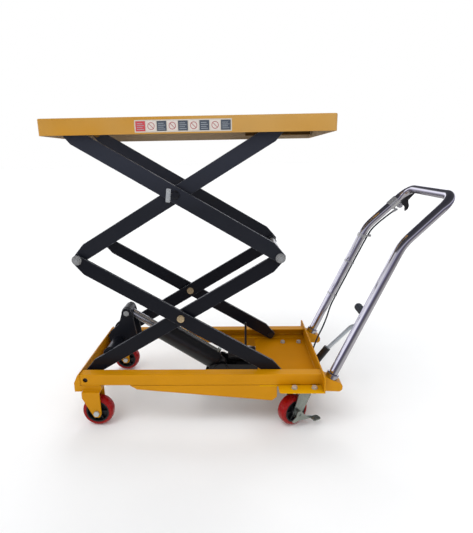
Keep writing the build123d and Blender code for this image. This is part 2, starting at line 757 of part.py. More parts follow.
def lever_clamp():
    """Clip on the right leg with two ears and a pin for the lever, and the cable's adjuster."""
    cutter = bar(under_leg(100, 0), under_leg(164, 0), handle_tube_radius)
    clip = bar(under_leg(122, 0), under_leg(161, 0), handle_tube_radius + 3)
    ear = outline_xz([under_leg_xz(*place) for place in
                      ((143, 8), (161, 8), (161, 31), (156, 36), (148, 36), (143, 31))])
    gap = lever_thickness / 2 + 0.4
    for y_low, y_high in ((lever_y - gap - 4, lever_y - gap), (lever_y + gap, lever_y + gap + 4)):
        clip += between(ear, y_low, y_high)
    clip += bar(under_leg(130, 10), under_leg(130, 30), 4)
    clip -= cutter
    centre = under_leg_xz(*lever_pivot_place)
    clip -= disc(centre, lever_pin_radius, lever_y - 12, lever_y + 12)
    pin = disc(centre, lever_pin_radius, lever_y - 10, lever_y + 10)
    stem = bar(under_leg(130, 10), under_leg(130, 40), 4)
    adjuster = bar((pivot_x + 1198, lever_y, 721), (pivot_x + 1218, lever_y, 732), 4.5) - stem
    return group(clip, pin, adjuster)


def release_lever():
    """Lever below the tube: a long thumb bar and a hooked claw for the cable."""
    places = [(148, 20.4), (163, 20.4), (167, 18.2), (224, 18.2), (232, 21), (229, 31),
              (190, 34), (184, 42), (178, 54), (166, 61), (153, 60), (156, 54), (163, 47),
              (164, 40), (160, 34), (148, 34), (144.6, 31), (144.6, 23.5)]
    outline = [under_leg_xz(*place) for place in places]
    face = outline_xz(outline)
    face = rounded(face, [outline[i] for i in (0, 4, 9, 12, 15, 16, 17)], 2.5)
    half = lever_thickness / 2
    plate = between(face, lever_y - half, lever_y + half)
    bore = lever_pin_radius + running_gap
    return plate - disc(under_leg_xz(*lever_pivot_place), bore, lever_y - 12, lever_y + 12)


def cable_clips():
    """Ties that hold the cable to the right leg."""
    ties = []
    for share in (0.33, 0.65):
        step = 3 / 500
        start, end = beside_leg(share - step, 0), beside_leg(share + step, 0)
        tie = bar(start, end, handle_tube_radius + 1)
        tie += bar(beside_leg(share - step, cable_gap), beside_leg(share + step, cable_gap), 5.8)
        tie -= bar(beside_leg(share - 0.1, 0), beside_leg(share + 0.1, 0), handle_tube_radius)
        tie -= bar(beside_leg(share - 0.1, cable_gap), beside_leg(share + 0.1, cable_gap), 4.4)
        ties.append(tie)
    return ties


def leg_clamp():
    """Band below the bend of the right leg, with its screw pointing to the rear."""
    band = bar(beside_leg(0.07, 0), beside_leg(0.1, 0), handle_tube_radius + 2)
    x, y, z = beside_leg(0.085, 0)
    screw = bar((x, y - 9, z), (x + 30, y - 9, z), 3)
    screw += bar((x + 27, y - 9, z), (x + 36, y - 9, z), 5)
    return band + screw - bar(beside_leg(0.05, 0), beside_leg(0.12, 0), handle_tube_radius)


cable_radius = 3.2
cable_gap = 21.5


def cable_route():
    """Points from the cable's stop on the lever clamp down to the release valve."""
    x = pivot_x
    down_handle = [(x + 1197, 190, 720.4), under_leg(82, cable_gap + 3),
                   under_leg(44, cable_gap + 1), under_leg(4, cable_gap + 3),
                   beside_leg(0.12, cable_gap + 1),
                   beside_leg(0.28, cable_gap), beside_leg(0.44, cable_gap + 0.6),
                   beside_leg(0.6, cable_gap), beside_leg(0.76, cable_gap + 1)]
    return down_handle + [
        (x + 946, 172, 268), (x + 920, 128, 236), (x + 890, 84, 208), (x + 869, 52, 176),
        (x + 858, 42, 138), (x + 826, 40, 112), (x + 770, 36, 106), (x + 714, 28, 116),
        (x + 664, 26, 118)]


def cable_radii(points):
    """As large as the two runs at each corner allow."""
    radii = []
    for before, corner, after in zip(points, points[1:], points[2:]):
        into = Vector(*corner) - Vector(*before)
        out = Vector(*after) - Vector(*corner)
        turn = math.radians(max(into.get_angle(out), 0.5))
        radii.append(0.45 * min(into.length, out.length) / math.tan(turn / 2))
    return radii


def release_cable():
    points = cable_route()
    radii = cable_radii(points)
    print("cable radii", [round(radius) for radius in radii])
    return bent_tube(points, radii, cable_radius)


# ---------------------------------------------------------------- assembly
press = pin_radius
running = pin_radius + running_gap
loose = pin_radius + loose_gap

for name, side in sides.items():
    add(f"rail_{name}", rail(side))
    wheel_centre = (pivot_x + front_wheel_offset, wheel_radius)
    add(f"front_tyre_{name}", tyre(wheel_centre, side * front_wheel_y))
    add(f"front_hub_{name}", hub(wheel_centre, side * front_wheel_y))
    trailing = (-caster_trail, wheel_radius)
    add(f"caster_fork_{name}", caster_fork(side))
    add(f"caster_hub_{name}", caster_frame(side) * hub(trailing, 0))
    add(f"caster_tyre_{name}", caster_frame(side) * tyre(trailing, 0))
    add(f"caster_brake_{name}", caster_brake(side))
    add(f"arm_outer_lower_{name}",
        arm(side, lower_centre, -1, outer_arm_y, press, running, press))
    add(f"arm_inner_lower_{name}",
        arm(side, lower_centre, 1, inner_arm_y, press, press, press))
    add(f"arm_outer_upper_{name}",
        arm(side, upper_centre, -1, outer_arm_y, running, press, running))
    add(f"arm_inner_upper_{name}",
        arm(side, upper_centre, 1, inner_arm_y, loose, running, press))

both = list(sides.values())
add("front_crossplate", front_crossplate())
add("end_plate", end_plate())
add("floor_plate", floor_plate())
add("skirt_plates", group(*[skirt(side) for side in both]))
add("front_forks", group(*[fork(side) for side in both]))
wheel_axle = (pivot_x + front_wheel_offset, wheel_radius)
add("front_axle_bolts", group(*[axle_bolt(side, wheel_axle, 183, 243) for side in both]))
add("caster_plates", group(*[caster_plate(side) for side in both]))
add("caster_bolts", group(*caster_bolts()))
add("hydraulic_cradle", cradle())
add("pump_body", group(pump_body(), *pump_fittings()))
add("pump_reservoir", pump_reservoir())
add("pump_pushrod", pump_pushrod())
add("pedal_bracket", pedal_bracket())
add("pedal_socket", pedal_socket())
add("pedal_rod", pedal_rod())
add("pedal_pad", pedal_pad())
add("handle_tube", handle_tube())
add("handle_collars", group(*[handle_collar(side) for side in both]))
add("handle_brackets", group(*[handle_bracket(side) for side in both]))
add("lever_clamp", lever_clamp())
add("release_lever", release_lever())
add("release_cable", release_cable())
add("cable_clips", group(leg_clamp(), *cable_clips()))
add("lift_crank", lift_crank())
add("inner_lower_pins", group(cross_shaft(mid_rear), crosshead_pin(),
                              *[base_pin(side) for side in both],
                              *[centre_pin(side, lower_centre) for side in both]))
add("outer_lower_pins", group(cross_shaft(mid_front),
                              *[lower_roller_axle(side) for side in both]))
add("lower_rollers", group(*[roller(side, base_roller, lower_roller_radius, 188.5, 216)
                             for side in both]))
add("upper_centre_pins", group(*[centre_pin(side, upper_centre) for side in both]))
add("upper_roller_shaft", upper_roller_shaft())
add("upper_rollers", group(*[roller(side, top_roller, upper_roller_radius, 169, 185)
                             for side in both]))
add("cylinder_barrel", cylinder_barrel())
add("cylinder_gland", cylinder_gland())
add("cylinder_foot", cylinder_foot())
add("piston_rod", piston_rod())
add("return_pipe", return_pipe())
add("table_pan", table_pan())
add("table_channels", group(*[table_channel(side) for side in both]))
add("table_lugs", group(*[table_lug(side) for side in both]))

os.makedirs("parts", exist_ok=True)
for name, shape in parts.items():
    export_step(shape, f"parts/{name}.step")
print(len(parts), "nodes")
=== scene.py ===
"""Looks of the scissor lift table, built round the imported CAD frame. Metres, row frame."""
import json
import math
import bpy
import bmesh
from mathutils import Matrix, Vector


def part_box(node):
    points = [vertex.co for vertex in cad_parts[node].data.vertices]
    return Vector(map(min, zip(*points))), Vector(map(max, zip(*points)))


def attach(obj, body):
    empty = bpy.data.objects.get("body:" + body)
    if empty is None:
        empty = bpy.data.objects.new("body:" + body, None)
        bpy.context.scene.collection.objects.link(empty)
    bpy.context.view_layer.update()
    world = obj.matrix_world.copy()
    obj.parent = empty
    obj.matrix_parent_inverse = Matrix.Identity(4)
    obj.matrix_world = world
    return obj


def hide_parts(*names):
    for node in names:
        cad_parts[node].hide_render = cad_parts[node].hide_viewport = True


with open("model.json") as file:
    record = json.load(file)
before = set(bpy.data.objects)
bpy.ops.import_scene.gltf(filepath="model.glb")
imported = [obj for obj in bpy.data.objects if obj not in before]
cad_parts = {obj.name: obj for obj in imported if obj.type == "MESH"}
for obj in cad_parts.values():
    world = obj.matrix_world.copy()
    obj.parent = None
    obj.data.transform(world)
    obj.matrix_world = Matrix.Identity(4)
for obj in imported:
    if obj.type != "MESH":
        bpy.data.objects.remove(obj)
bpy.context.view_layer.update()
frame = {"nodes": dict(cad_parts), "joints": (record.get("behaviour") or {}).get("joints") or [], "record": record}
nodes = frame["nodes"]
slot_of = {row["node"]: row["material_slot"] for row in frame["record"]["subparts"]}
joint_at = {joint["name"]: Vector(joint["pos_m"]) for joint in frame["joints"] if "pos_m" in joint}
axis_of = {joint["name"]: Vector(joint["axis"]) for joint in frame["joints"]}

SIDES = (-1, 1)
Y_AXIS = Vector((0, 1, 0))
WHEELS = ("front_wheel_left", "front_wheel_right", "caster_wheel_left", "caster_wheel_right")


# ---------------------------------------------------------------- shader helpers
def linear(r, g, b):
    """An sRGB colour given as 0..255 numbers, as linear RGBA."""
    out = []
    for value in (r, g, b):
        c = value / 255
        out.append(c / 12.92 if c <= 0.04045 else ((c + 0.055) / 1.055) ** 2.4)
    return (*out, 1.0)


def scaled(colour, factor):
    """A darker or brighter colour, with no channel over 1."""
    return (*[min(1.0, c * factor) for c in colour[:3]], 1.0)


class Wiring:
    """The node tree of a material or a world, wired up step by step."""

    def __init__(self, owner):
        owner.use_nodes = True
        self.tree = owner.node_tree
        self.tree.nodes.clear()

    def node(self, kind, **settings):
        made = self.tree.nodes.new(kind)
        for key, value in settings.items():
            setattr(made, key, value)
        return made

    def feed(self, target, value):
        """Link a socket to an input, or give the input a plain value."""
        if isinstance(value, bpy.types.NodeSocket):
            self.tree.links.new(value, target)
        else:
            target.default_value = value

    def feed_named(self, made, **values):
        """Feed a node's inputs by name; an underscore stands for a space."""
        for key, value in values.items():
            self.feed(made.inputs[key.replace("_", " ")], value)

    def maths(self, operation, *values):
        made = self.node("ShaderNodeMath", operation=operation)
        for target, value in zip(made.inputs, values):
            self.feed(target, value)
        return made.outputs[0]

    def vector_maths(self, operation, a, b):
        """The outputs, Vector and Value, of a sum with two vectors."""
        made = self.node("ShaderNodeVectorMath", operation=operation)
        self.feed(made.inputs[0], a)
        self.feed(made.inputs[1], b)
        return made.outputs

    def split(self, vector):
        """The X, Y and Z sockets of a vector."""
        made = self.node("ShaderNodeSeparateXYZ")
        self.feed(made.inputs[0], vector)
        return made.outputs

    def ramp(self, value, low, high, out_low=0.0, out_high=1.0, curve="LINEAR"):
        """Map value from low..high to out_low..out_high, clamped."""
        made = self.node("ShaderNodeMapRange", interpolation_type=curve)
        self.feed_named(made, Value=value, From_Min=low, From_Max=high, To_Min=out_low,
                        To_Max=out_high)
        return made.outputs[0]


class Shader(Wiring):
    """A Principled material, with object coordinates for its textures and masks."""

    def __init__(self, name):
        self.material = bpy.data.materials.new(name)
        super().__init__(self.material)
        output = self.node("ShaderNodeOutputMaterial")
        self.bsdf = self.node("ShaderNodeBsdfPrincipled")
        self.feed(output.inputs[0], self.bsdf.outputs[0])
        self.coords = self.node("ShaderNodeTexCoord").outputs["Object"]

    def set(self, **values):
        self.feed_named(self.bsdf, **values)

    def noise(self, scale, detail=3.0, roughness=0.55, stretch=None):
        """Noise from 0 to 1, about scale features to a metre; stretch multiplies that per axis."""
        place = self.coords
        if stretch:
            mapping = self.node("ShaderNodeMapping")
            self.feed_named(mapping, Vector=place, Scale=stretch)
            place = mapping.outputs[0]
        made = self.node("ShaderNodeTexNoise")
        self.feed_named(made, Vector=place, Scale=scale, Detail=detail, Roughness=roughness)
        return made.outputs["Fac"]

    def patches(self, scale, low, high, out_low=0.0, out_high=1.0, **noise):
        """Noise with its values from low to high spread over out_low..out_high."""
        return self.ramp(self.noise(scale, **noise), low, high, out_low, out_high)

    def mix(self, factor, a, b):
        """Mix two colours; each is a colour tuple or a socket."""
        made = self.node("ShaderNodeMix", data_type="RGBA")
        # This node has sockets for each type of data, and the colours are inputs 6 and 7.
        for index, value in ((0, factor), (6, a), (7, b)):
            self.feed(made.inputs[index], value)
        return made.outputs[2]

    def bump(self, height, strength, distance, normal):
        made = self.node("ShaderNodeBump")
        self.feed_named(made, Height=height, Strength=strength, Distance=distance, Normal=normal)
        return made.outputs[0]

    def edges(self, radius):
        """(rounded normal, mask that is 1 on sharp edges)."""
        bevel = self.node("ShaderNodeBevel", samples=6)
        self.feed_named(bevel, Radius=radius)
        rounded = bevel.outputs[0]
        normal = self.node("ShaderNodeNewGeometry").outputs["Normal"]
        likeness = self.vector_maths("DOT_PRODUCT", rounded, normal)["Value"]
        return rounded, self.ramp(likeness, 0.995, 0.86)

    def top_edges(self, edge_mask):
        """The part of an edge mask that looks upwards."""
        normal = self.node("ShaderNodeNewGeometry").outputs["Normal"]
        return self.maths("MULTIPLY", edge_mask, self.ramp(self.split(normal)["Z"], -0.1, 0.5))

    def corners(self, distance, tight, clear, amount):
        """A mask that is amount where a place is as shut in as tight, and 0 where it is clear."""
        openness = self.node("ShaderNodeAmbientOcclusion", samples=6)
        self.feed_named(openness, Distance=distance)
        return self.ramp(openness.outputs["AO"], tight, clear, amount, 0.0)

    def along(self, axis, start, end):
        """0 before start and 1 after end, along one object axis."""
        return self.ramp(self.split(self.coords)[axis], start, end)


# ---------------------------------------------------------------- masks
# How far a mask's edge fades, in metres.
BLUR = 0.001


def rising(axis, start, end):
    """A mask that goes from 0 at start to 1 at end along an axis."""
    return lambda s: s.along(axis, start, end)


def facing(centre):
    """A mask of the surfaces that look towards a point."""
    def mask(s):
        away = s.vector_maths("SUBTRACT", s.coords, centre)["Vector"]
        normal = s.node("ShaderNodeTexCoord").outputs["Normal"]
        outward = s.vector_maths("DOT_PRODUCT", normal, away)["Value"]
        return s.ramp(outward, BLUR, -BLUR)
    return mask


def around(centre, radius):
    """A mask of what lies within a radius of an axis along Y."""
    def mask(s):
        flat = s.vector_maths("MULTIPLY", s.coords, (1, 0, 1))["Vector"]
        reach = s.vector_maths("DISTANCE", flat, (centre.x, 0, centre.z))["Value"]
        return s.ramp(reach, radius + BLUR / 2, radius - BLUR / 2)
    return mask


def beyond_rails(s):
    """A mask of what lies outside the two rails."""
    _, rail_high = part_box("rail_right")
    sideways = s.maths("ABSOLUTE", s.split(s.coords)["Y"])
    return s.ramp(sideways, rail_high.y - BLUR, rail_high.y)


def elbows_and_crosshead(s):
    """A mask of the pins above the lower crossing and of those in front of it."""
    crossing = joint_at["lower_cross"]
    above = (crossing.z + joint_at["elbow"].z) / 2
    ahead = (crossing.x + joint_at["rod_swing"].x) / 2
    return s.maths("MAXIMUM", s.along("Z", above, above + BLUR), s.along("X", ahead, ahead - BLUR))


# ---------------------------------------------------------------- materials
# The roughness of the paint that covers part of a metal piece.
PAINT_ROUGHNESS = 0.36


def paint(name, base, worn, rough=0.34, peel=0.22, wear=0.5, edge=0.0009, gloss=0.4, coat=0.08,
          top_edge_highlight=0.0, second=None, pale=None):
    """Sprayed coat: slow colour drift, orange peel, chipped edges and painted shade in the corners.

    worn shows where the coat is chipped, and wear is how much of it; top_edge_highlight brightens
    the edges that look upwards towards the worn colour, a painted highlight; second is another tone
    and the mask where it goes; pale is a tone that the coat fades towards in wide clouds.
    """
    s = Shader(name)
    drift = s.patches(5.0, 0.3, 0.7, detail=4.0)
    colour = s.mix(drift, scaled(base, 0.93), scaled(base, 1.06))
    if pale:
        cloud = s.patches(2.2, 0.4, 0.62, 0.0, 0.55, roughness=0.5, stretch=(1.0, 0.4, 1.0))
        colour = s.mix(cloud, colour, pale)
    if second:
        tone, mask = second
        colour = s.mix(mask(s), colour, tone)
    speckle = s.patches(260.0, 0.62, 0.78, 0.0, 0.16)
    colour = s.mix(speckle, colour, scaled(base, 0.6))
    # Painted shade: the coat darkens where a place is shut in, by ambient occlusion.
    colour = s.mix(s.corners(0.03, 0.25, 0.9, 0.35), colour, scaled(base, 0.35))
    rounded, edge_mask = s.edges(edge)
    chips = s.patches(95.0, 0.5, 0.66, 0.0, wear, detail=4.0)
    colour = s.mix(s.maths("MULTIPLY", edge_mask, chips), colour, worn)
    # Painted highlight: the edges that look upwards lighten towards the worn colour.
    if top_edge_highlight:
        patchy = s.patches(24.0, 0.3, 0.6, top_edge_highlight * 0.55, top_edge_highlight)
        colour = s.mix(s.maths("MULTIPLY", s.top_edges(edge_mask), patchy), colour, worn)
    haze = s.patches(16.0, 0.25, 0.75, rough - 0.05, rough + 0.1, detail=5.0, roughness=0.65)
    peeled = s.bump(s.noise(750.0, detail=2.0), peel, 0.00012, rounded)
    s.set(Base_Color=colour, Roughness=haze, Normal=peeled, Specular_IOR_Level=gloss,
          Coat_Weight=coat, Coat_Roughness=0.2)
    return s.material


def metal(name, base, rough=0.25, brushed=0.0, mottled=0.1, corner_shade=0.35, metallic=1.0, second=None,
          coated=None):
    """Bare or plated metal with smears, fine scratches, painted shade in its corners and a painted highlight on
    its edges.

    second is another plating's tone and the mask where it goes; coated is a paint's tone and
    the mask where it covers the metal.
    """
    s = Shader(name)
    patchy = s.patches(30.0, 0.3, 0.72, roughness=0.5)
    colour = s.mix(patchy, scaled(base, 1.0 - mottled), scaled(base, 1.0 + mottled * 0.6))
    if second:
        tone, mask = second
        colour = s.mix(mask(s), colour, tone)
    # Painted shade: corners darken by ambient occlusion.
    colour = s.mix(s.corners(0.015, 0.2, 0.85, corner_shade), colour, scaled(base, 0.25))
    rounded, edge_mask = s.edges(0.0006)
    # Painted highlight: sharp edges are lightened.
    colour = s.mix(s.maths("MULTIPLY", edge_mask, 0.3), colour, scaled(base, 1.3))
    smear = s.patches(45.0, 0.25, 0.75, rough * 0.8, rough * 1.3, roughness=0.5)
    if coated:
        tone, mask = coated
        cover = mask(s)
        colour = s.mix(cover, colour, tone)
        metallic = s.ramp(cover, 0.0, 1.0, metallic, 0.0)
        smear = s.maths("MAXIMUM", smear, s.ramp(cover, 0.0, 1.0, 0.0, PAINT_ROUGHNESS))
    fine = s.noise(1400.0, detail=2.0, roughness=0.5)
    scratched = s.bump(fine, 0.08 + brushed, 0.00006, rounded)
    s.set(Base_Color=colour, Metallic=metallic, Roughness=smear, Normal=scratched)
    return s.material


def polymer(name, base, rough, grain=0.3, grain_scale=900.0, worn=0.15, coat=0.0, scatter=0.0,
            gloss=0.5):
    """Moulded plastic, rubber or polyurethane with a fine grain, dusty patches and a painted highlight on its
    edges.
    """
    s = Shader(name)
    dusty = (*[c * 0.6 + 0.09 for c in base[:3]], 1.0)
    dust = s.patches(22.0, 0.42, 0.8, 0.0, worn, detail=5.0, roughness=0.65)
    colour = s.mix(dust, base, dusty)
    rounded, edge_mask = s.edges(0.0008)
    # Painted highlight: sharp edges are lightened.
    colour = s.mix(s.maths("MULTIPLY", edge_mask, 0.25), colour, scaled(base, 1.8))
    haze = s.patches(70.0, 0.3, 0.7, rough - 0.06, rough + 0.08, detail=4.0)
    grained = s.bump(s.noise(grain_scale, detail=2.0), grain, 0.0001, rounded)
    s.set(Base_Color=colour, Roughness=haze, Normal=grained, Specular_IOR_Level=gloss,
          Coat_Weight=coat, Coat_Roughness=0.12, Subsurface_Weight=scatter,
          Subsurface_Radius=(0.004, 0.001, 0.001))
    return s.material


YELLOW = linear(200, 136, 2)
TABLE = linear(190, 134, 34)
# Painted light: a paler, greyer copy of the table paint on the pan's inner faces, which lie in shade.
LIT_PAN_INSIDE = linear(168, 148, 122)
BLACK = linear(21, 23, 30)
# Bare metal in the chips; on the arms also the colour of the painted highlight on their top edges.
BARE_AND_HIGHLIGHT = linear(178, 181, 188)
PRIMER = linear(120, 92, 60)
# Heights at rest: where the upper arms' paint starts and ends to get paler, painted light that grows
# towards the deck, and below which the lower arms' pins are painted over.
UPPER_ARMS_LIT_BETWEEN = (0.78, 0.95)
PINS_PAINTED_BELOW = 0.25
# The black eye at the end of the piston rod.
ROD_EYE_RADIUS = 0.0225

pan_low, pan_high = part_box("table_pan")
look_of_slot = {
    "yellow_paint": paint("yellow_coat", YELLOW, PRIMER, 0.36, gloss=0.18, coat=0.02),
    "table_paint": paint("table_coat", TABLE, linear(150, 112, 62), 0.42, gloss=0.3, coat=0.03,
                         second=(LIT_PAN_INSIDE, facing((pan_low + pan_high) / 2)),
                         pale=linear(196, 158, 98)),
    "black_paint": paint("black_coat", BLACK, BARE_AND_HIGHLIGHT, 0.34, wear=0.8, gloss=0.32, coat=0.05),
    "dark_steel": paint("black_casting", linear(24, 24, 27), linear(110, 108, 106), 0.36, peel=0.5,
                        gloss=0.45, coat=0.1),
    "zinc": metal("zinc_plate", linear(158, 164, 158), 0.2, mottled=0.16, metallic=0.85),
    "yellow_zinc": metal("yellow_zinc_plate", linear(206, 172, 116), 0.24, mottled=0.15,
                         metallic=0.6),
    "steel": metal("turned_steel", linear(190, 190, 192), 0.24, brushed=0.15, metallic=0.7),
    "chrome": metal("chrome_plate", linear(198, 196, 206), 0.08, mottled=0.05, corner_shade=0.3),
    "red_tyre": polymer("red_polyurethane", linear(146, 9, 10), 0.27, grain=0.08, coat=0.08,
                        scatter=0.05, worn=0.01, gloss=0.3),
    "hub_black": polymer("hub_plastic", linear(20, 22, 25), 0.42, worn=0.08),
    "black_rubber": polymer("rubber", linear(30, 38, 48), 0.5, grain=0.5, grain_scale=500.0),
    "black_plastic": polymer("black_moulding", linear(20, 20, 22), 0.35),
}
# Painted light and shade: the arms wear one black paint, the upper arms a paler, bluer lit copy of it and the
# lower arms a darker shaded copy.
lit_upper_arm = paint("upper_arm_lit_coat", linear(25, 28, 36), BARE_AND_HIGHLIGHT, 0.36, wear=0.8, edge=0.0016,
                  gloss=0.35, coat=0.06, top_edge_highlight=1.0,
                  second=(linear(44, 48, 60), rising("Z", *UPPER_ARMS_LIT_BETWEEN)))
shaded_lower_arm = paint("lower_arm_shaded_coat", linear(17, 19, 27), BARE_AND_HIGHLIGHT, 0.34, wear=0.8, edge=0.0016,
                  gloss=0.26, coat=0.03, top_edge_highlight=1.0)
# Painted shade and light on the floor plate: a darker copy of the yellow coat between the rails, where the table
# and arms shade it, and a brighter copy beyond the rails.
floor_plate_shade_and_light = paint("floor_plate_shade_and_light_coat", linear(184, 119, 0), PRIMER, 0.5, gloss=0.04, coat=0.0,
                    second=(linear(218, 158, 6), beyond_rails))
# Painted shade: the channels and lugs under the deck get a darker copy of the table paint.
shaded_under_deck = paint("under_deck_shaded_coat", linear(112, 82, 34), PRIMER, 0.45, gloss=0.25)
lower_pins = metal("lower_pins", linear(200, 178, 142), 0.24, mottled=0.28, metallic=0.6,
                   second=(linear(178, 180, 180), elbows_and_crosshead),
                   coated=(BLACK, rising("Z", PINS_PAINTED_BELOW + BLUR, PINS_PAINTED_BELOW - BLUR)))
bright_zinc = metal("bright_zinc", linear(208, 212, 212), 0.2, mottled=0.12, metallic=0.55)
look_of_node = {
    "pedal_rod": metal("bright_rod", linear(206, 214, 220), 0.2, mottled=0.08, metallic=0.6),
    "caster_bolts": bright_zinc,
    "front_axle_bolts": bright_zinc,
    "piston_rod": metal("ground_rod", linear(200, 200, 204), 0.2, metallic=0.85,
                        coated=(BLACK, around(joint_at["rod_swing"], ROD_EYE_RADIUS))),
    "outer_lower_pins": lower_pins,
    "inner_lower_pins": lower_pins,
    "floor_plate": floor_plate_shade_and_light,
    "table_channels": shaded_under_deck,
    "table_lugs": shaded_under_deck,
}
for name, obj in nodes.items():
    material = look_of_node.get(name, look_of_slot[slot_of[name]])
    if name.startswith("arm_"):
        material = lit_upper_arm if "_upper_" in name else shaded_lower_arm
    obj.data.materials.clear()
    obj.data.materials.append(material)


# ---------------------------------------------------------------- mesh helpers
def mesh_piece(name, body, slot, verts, faces, materials=None, smooth=True):
    """A mesh object in the row frame that rides on a body."""
    mesh = bpy.data.meshes.new(name)
    mesh.from_pydata([tuple(v) for v in verts], [], faces)
    mesh.validate()
    bm = bmesh.new()
    bm.from_mesh(mesh)
    bmesh.ops.recalc_face_normals(bm, faces=bm.faces)
    bm.to_mesh(mesh)
    bm.free()
    for material in materials or [look_of_slot[slot]]:
        mesh.materials.append(material)
    mesh.polygons.foreach_set("use_smooth", [smooth] * len(mesh.polygons))
    obj = bpy.data.objects.new(name, mesh)
    bpy.context.scene.collection.objects.link(obj)
    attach(obj, body)
    return obj


def joined(parts):
    """Several (verts, faces) pairs as one."""
    verts, faces = [], []
    for more_verts, more_faces in parts:
        start = len(verts)
        verts += more_verts
        faces += [tuple(start + i for i in face) for face in more_faces]
    return verts, faces


def square_to(axis):
    """Two unit vectors square to an axis and to each other."""
    axis = axis.normalized()
    side = axis.cross(Vector((0, 0, 1)))
    if side.length < 1e-4:
        side = axis.cross(Y_AXIS)
    side.normalize()
    return side, axis.cross(side)


def circle(centre, axis, radius, steps):
    """Points round a circle, the first one not repeated at the end."""
    side, up = square_to(axis)
    turns = [2 * math.pi * k / steps for k in range(steps)]
    return [centre + (side * math.cos(turn) + up * math.sin(turn)) * radius for turn in turns]


def tube_faces(rings, steps, closed=False):
    """Faces that join rings of points, with flat ends or, if closed, the last ring to the first."""
    pairs = [(i, i + 1) for i in range(rings - 1)] + ([(rings - 1, 0)] if closed else [])
    faces = []
    for i, j in pairs:
        for k in range(steps):
            n = (k + 1) % steps
            faces.append((i * steps + k, i * steps + n, j * steps + n, j * steps + k))
    if not closed:
        faces.append(tuple(reversed(range(steps))))
        faces.append(tuple((rings - 1) * steps + k for k in range(steps)))
    return faces


def turned(centre, axis, profile, steps=48, closed=False):
    """Vertices and faces of a profile of (radius, height) turned about an axis."""
    verts = []
    for radius, height in profile:
        verts += circle(centre + axis.normalized() * height, axis, radius, steps)
    return verts, tube_faces(len(profile), steps, closed)


def bead(points, radius):
    """A weld bead along straight runs: overlapping ripples, thinner at its two ends."""
    pitch, ring = 0.0036, 8
    trough, end_size = 0.86, 0.35
    places = []
    for start, end in zip(points, points[1:]):
        count = max(2, round((end - start).length / (pitch / 4)))
        places += [start.lerp(end, i / count) for i in range(count)]
    places.append(points[-1])
    last = len(places) - 1
    verts = []
    walked = 0.0
    for index, place in enumerate(places):
        before, after = places[max(index - 1, 0)], places[min(index + 1, last)]
        walked += (place - before).length
        size = trough + (1 - trough) * abs(math.sin(math.pi * walked / pitch))
        if index in (0, last):
            size *= end_size
        verts += circle(place, after - before, radius * size, ring)
    return verts, tube_faces(len(places), ring)


def slab(x_range, z_range, y_range, corner=0.0):
    """A flat plate in an X-Z plane, with rounded corners if corner is their radius."""
    (x_low, x_high), (z_low, z_high) = x_range, z_range
    steps = 4 if corner else 0
    outline = []
    for cx, cz, first in ((x_high - corner, z_high - corner, 0),
                          (x_low + corner, z_high - corner, 90),
                          (x_low + corner, z_low + corner, 180),
                          (x_high - corner, z_low + corner, 270)):
        for k in range(steps + 1):
            angle = math.radians(first + 90 * k / max(steps, 1))
            outline.append((cx + corner * math.cos(angle), cz + corner * math.sin(angle)))
    count = len(outline)
    verts = [Vector((x, y, z)) for y in y_range for x, z in outline]
    faces = [tuple(range(count)), tuple(reversed(range(count, 2 * count)))]
    faces += [(k, k + count, (k + 1) % count + count, (k + 1) % count) for k in range(count)]
    return verts, faces


# ---------------------------------------------------------------- weld beads
# Radii of the beads.
THIN_BEAD, BEAD, THICK_BEAD = 0.0022, 0.0024, 0.0026


def frame_welds():
    """Beads on the base: end plate, handle brackets, front forks and front cross plate."""
    end_low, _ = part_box("end_plate")
    _, floor_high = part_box("floor_plate")
    rail_low, rail_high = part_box("rail_right")
    bracket_low, bracket_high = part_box("handle_brackets")
    fork_low, fork_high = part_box("front_forks")
    rail_wall, rail_flange = 0.004, 0.038
    bracket_width, bracket_foot, bracket_head = 0.046, 0.143, 0.203
    crown_top = 0.141
    inside, outside = rail_low.y - rail_wall, rail_high.y

    beads = [bead([Vector((end_low.x, -inside, floor_high.z)),
                   Vector((end_low.x, inside, floor_high.z))], BEAD)]

    def upright(x, y, foot, head, radius):
        return (x, y, foot), (x, y, head), radius

    def lengthwise(front, rear, z, radius):
        return (front, outside, z), (rear, outside, z), radius

    # The runs on the right side. Each stops a few millimetres short of its plate's corners.
    runs = [upright(bracket_low.x, y, bracket_foot, bracket_head, THICK_BEAD)
            for y in (bracket_high.y, bracket_high.y - bracket_width)]
    runs += [
        upright(end_low.x, outside, rail_low.z + 0.002, rail_high.z - 0.003, BEAD),
        ((end_low.x, outside - rail_wall, rail_high.z),
         (end_low.x, outside - rail_flange, rail_high.z), BEAD),
        lengthwise(fork_low.x + 0.004, fork_high.x - 0.006, crown_top, THICK_BEAD),
        lengthwise(fork_low.x + 0.002, fork_high.x - 0.002, rail_low.z, THIN_BEAD),
        upright(rail_low.x, outside, rail_low.z + 0.003, rail_high.z - 0.004, THIN_BEAD),
    ]
    for side in SIDES:
        for start, end, radius in runs:
            beads.append(bead([Vector((x, side * y, z)) for x, y, z in (start, end)], radius))
    mesh_piece("frame_welds", "base", "yellow_paint", *joined(beads))


def crank_welds():
    """Beads round the torsion tube at the arms and at the two crank plates."""
    _, crank_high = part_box("lift_crank")
    tube_from_pivot = Vector((0.080, 0, 0.069))
    tube_radius, bead_radius, steps = 0.0262, 0.0028, 40
    plate_faces = (0.0415, 0.0305)
    arm_face = crank_high.y - 0.0006
    centre = joint_at["lower_lift"] + tube_from_pivot
    beads = []
    for side in SIDES:
        for y in (*plate_faces, arm_face):
            ring = circle(centre + Y_AXIS * side * y, Y_AXIS, tube_radius, steps)
            beads.append(bead([*ring, ring[0]], bead_radius))
    mesh_piece("crank_welds", "inner_lower", "black_paint", *joined(beads))


